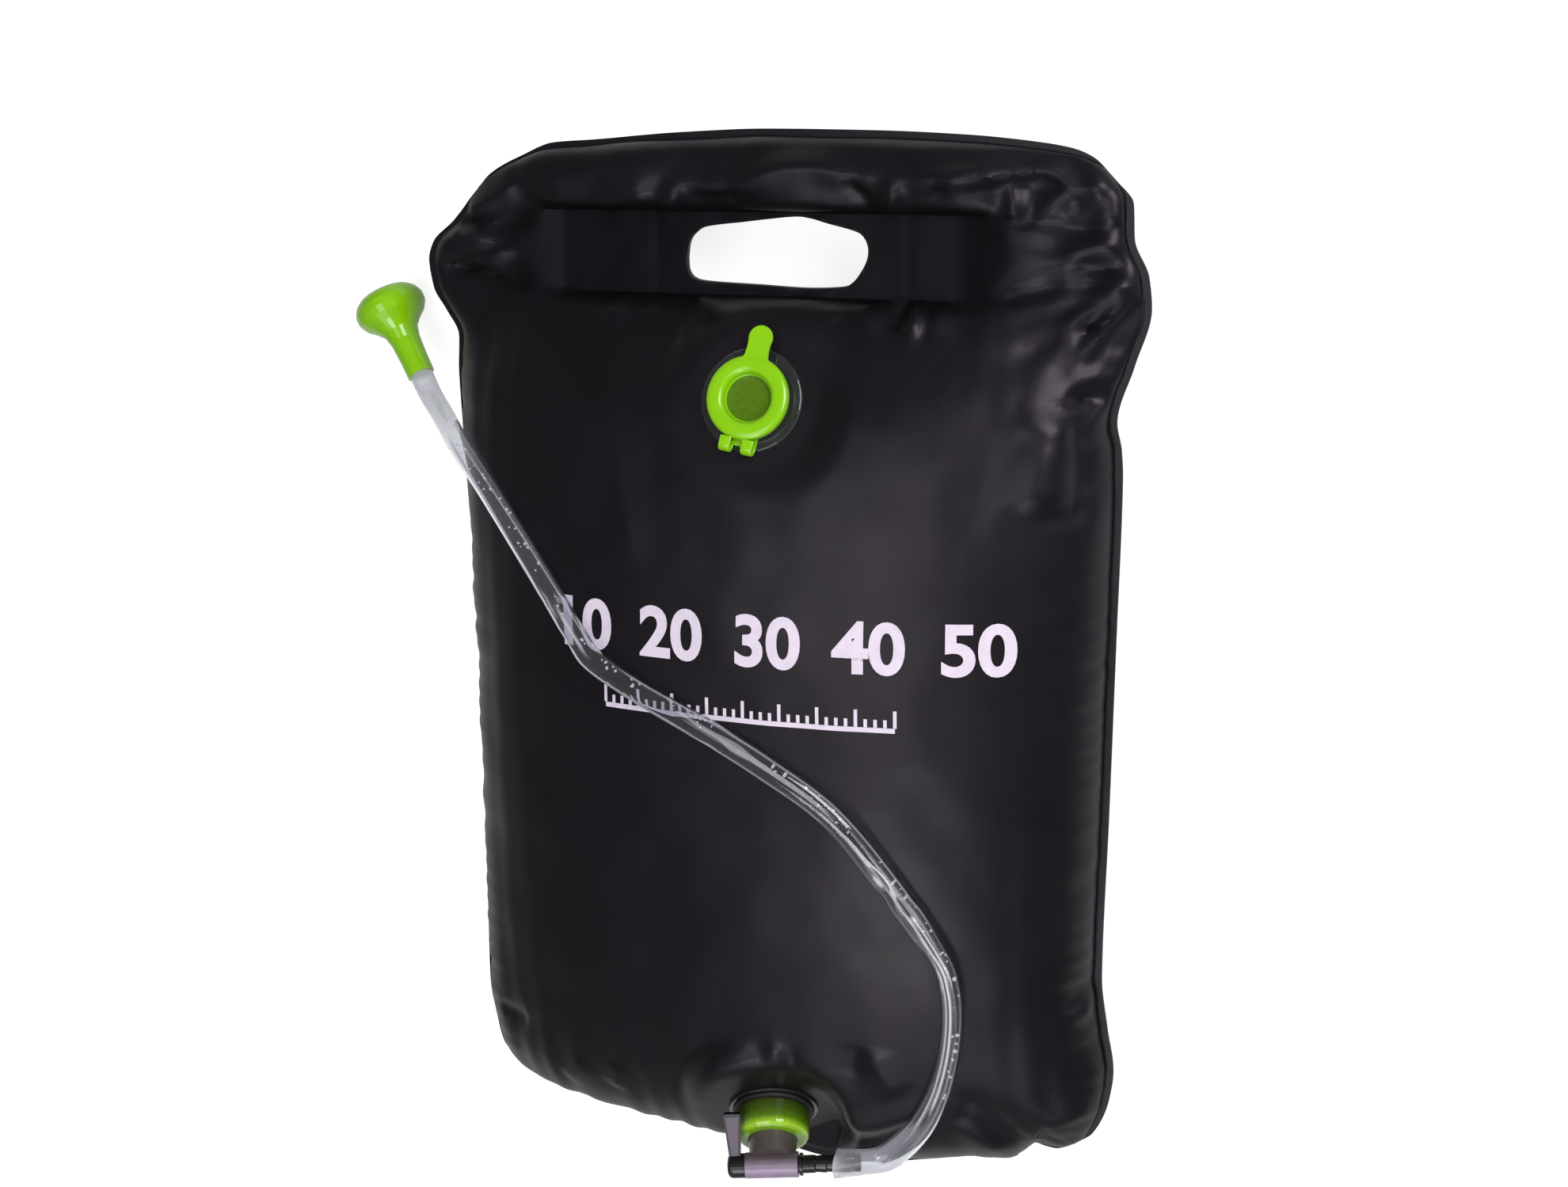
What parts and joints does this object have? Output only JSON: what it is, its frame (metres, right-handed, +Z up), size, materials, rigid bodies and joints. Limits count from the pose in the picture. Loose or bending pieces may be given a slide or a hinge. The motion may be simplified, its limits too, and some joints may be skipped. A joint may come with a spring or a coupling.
{
  "type": "camp_shower_bag",
  "caption": "Black welded water bag with hand hole, plug filler on straps, quarter-turn tap, clear hose and mushroom shower head, lying on its back.",
  "frame": {"origin": "on the flat underside of the back sheet, under the middle of the bag, which lies on its back on the floor", "axes": "+Z up out of the black front sheet, +Y toward the hand hole, +X across the bag toward the hose's side"},
  "size_m": [0.4656, 0.5687, 0.135],
  "materials": {
    "black_sheet": "satin",
    "green_plastic": "gloss",
    "clear_disc": "gloss",
    "milky_plastic": "gloss",
    "black_plastic": "satin",
    "black_rubber": "matte",
    "clear_tube": "gloss"
  },
  "bodies": {
    "bag": {"front_sheet": "black_sheet", "back_sheet": "black_sheet", "filler_flange": "clear_disc", "filler_neck": "green_plastic", "cap_strap_left": "green_plastic", "cap_strap_right": "green_plastic", "outlet_flange": "clear_disc", "outlet_spout": "clear_disc", "tap_gasket": "black_rubber", "tap_nut": "green_plastic", "tap_body": "milky_plastic", "hose_cuff": "clear_tube", "hose": "clear_tube", "shower_head": "green_plastic", "rose_plate": "green_plastic"},
    "cap": {"filler_cap": "green_plastic"},
    "spindle": {"tap_spindle": "black_plastic", "spindle_seal_left": "black_rubber", "spindle_seal_right": "black_rubber", "spindle_clip": "black_plastic"}
  },
  "joints": [
    {"name": "cap_hinge", "type": "hinge", "parent": "bag", "child": "cap", "pos_m": [0.00205, 0.12801, 0.10981], "axis": [0.9881, -0.1529, -0.0165], "range_deg": [0, 150], "deforming": ["cap_strap_left", "cap_strap_right"]},
    {"name": "tap_turn", "type": "hinge", "parent": "bag", "child": "spindle", "pos_m": [0.01205, -0.26878, 0.10563], "axis": [0.9566, 0.0529, -0.2865], "range_deg": [0, 90]}
  ]
}
